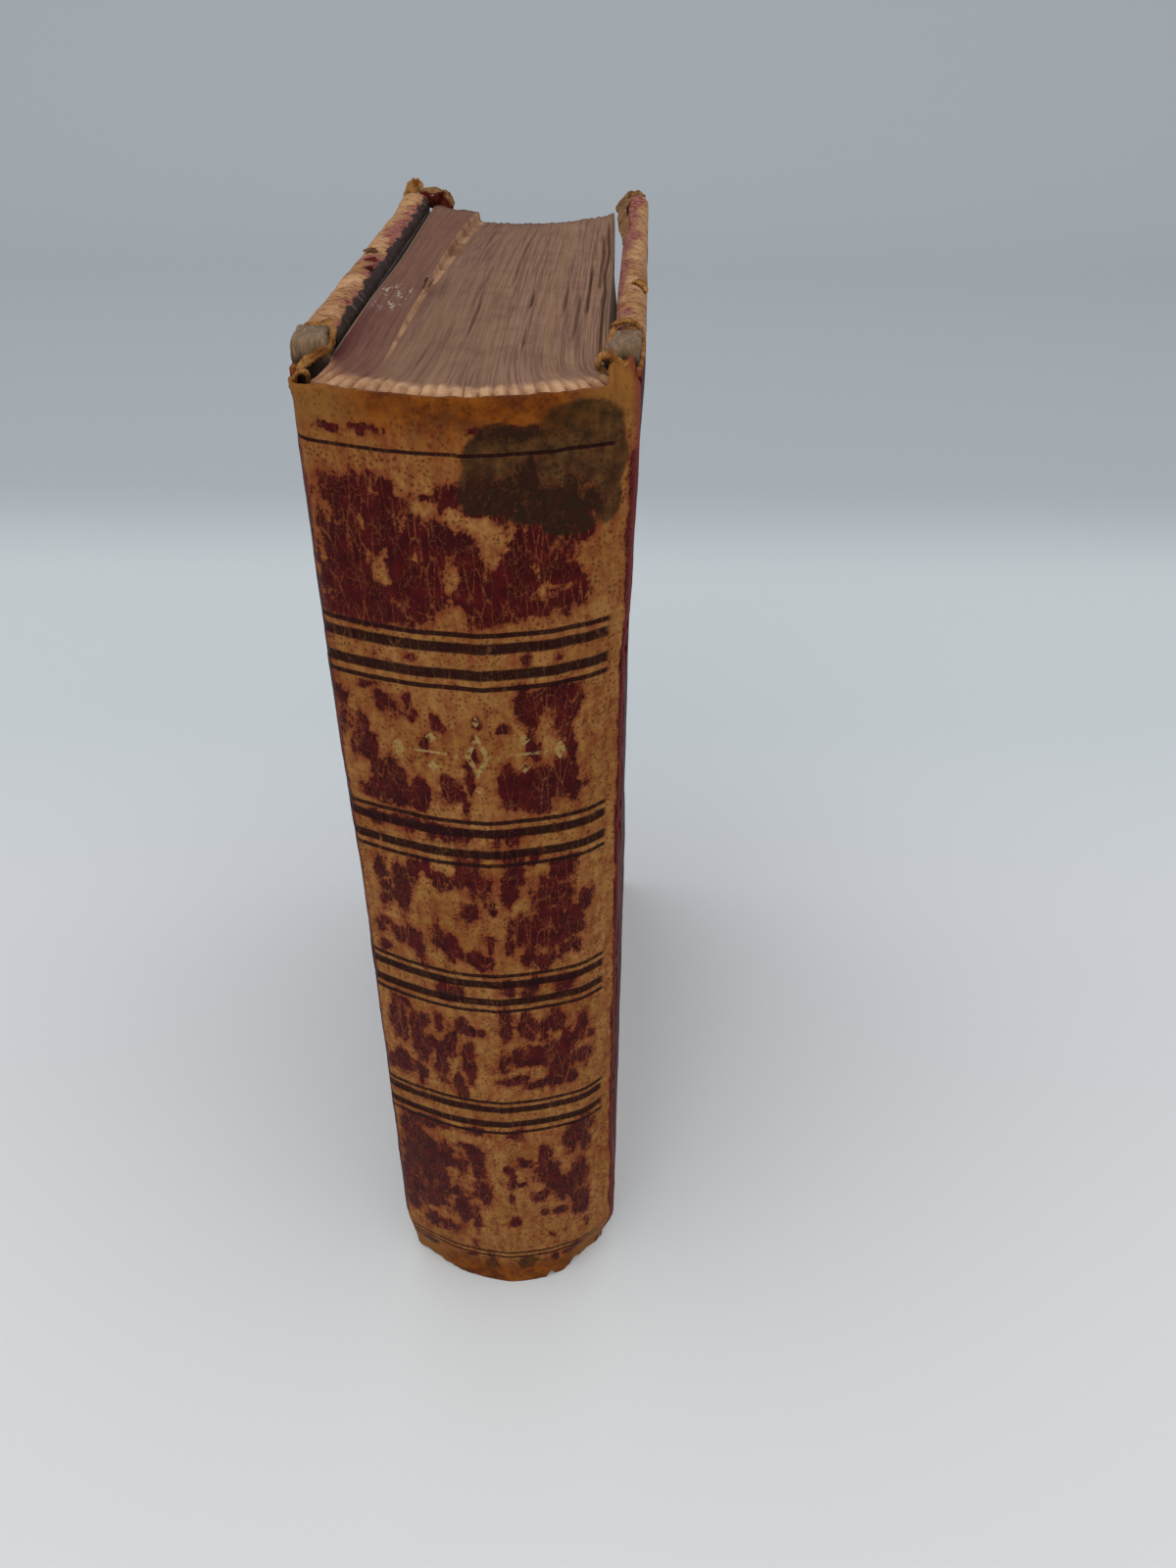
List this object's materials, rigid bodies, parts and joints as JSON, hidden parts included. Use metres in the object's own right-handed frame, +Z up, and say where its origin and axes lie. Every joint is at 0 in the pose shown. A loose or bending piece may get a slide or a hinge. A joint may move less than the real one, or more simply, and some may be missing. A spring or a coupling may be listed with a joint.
{
  "type": "antique leather book",
  "caption": "Small old leather-bound book with a rounded, blind-tooled flat spine, worn board corners and two covers that open on leather joints.",
  "frame": {"origin": "bottom centre of the standing book's bounding box", "axes": "+Z up from tail to head, +Y from the spine to the fore edge, +X towards the front cover"},
  "size_m": [0.0388, 0.104, 0.146],
  "materials": {
    "aged_paper": "matte",
    "tan_leather": "satin",
    "grey_pasteboard": "matte",
    "dark_endpaper": "matte",
    "linen": "matte"
  },
  "bodies": {
    "book_block": {"text_block": "aged_paper", "spine_leather": "tan_leather", "spine_lining": "linen", "front_flyleaf": "dark_endpaper", "rear_flyleaf": "dark_endpaper", "sewing_cord_1": "linen", "sewing_cord_2": "linen", "sewing_cord_3": "linen", "sewing_cord_4": "linen", "kettle_stitch_tail": "linen", "kettle_stitch_head": "linen"},
    "front_cover": {"front_board": "grey_pasteboard", "front_cover_leather": "tan_leather", "front_pastedown": "dark_endpaper"},
    "rear_cover": {"rear_board": "grey_pasteboard", "rear_cover_leather": "tan_leather", "rear_pastedown": "dark_endpaper"}
  },
  "joints": [
    {"name": "front_cover_hinge", "type": "hinge", "parent": "book_block", "child": "front_cover", "pos_m": [0.01662, -0.04453, 0], "axis": [0, 0, -1], "range_deg": [-1.1, 170]},
    {"name": "rear_cover_hinge", "type": "hinge", "parent": "book_block", "child": "rear_cover", "pos_m": [-0.01828, -0.04453, 0], "axis": [0, 0, 1], "range_deg": [-0.5, 170]}
  ]
}
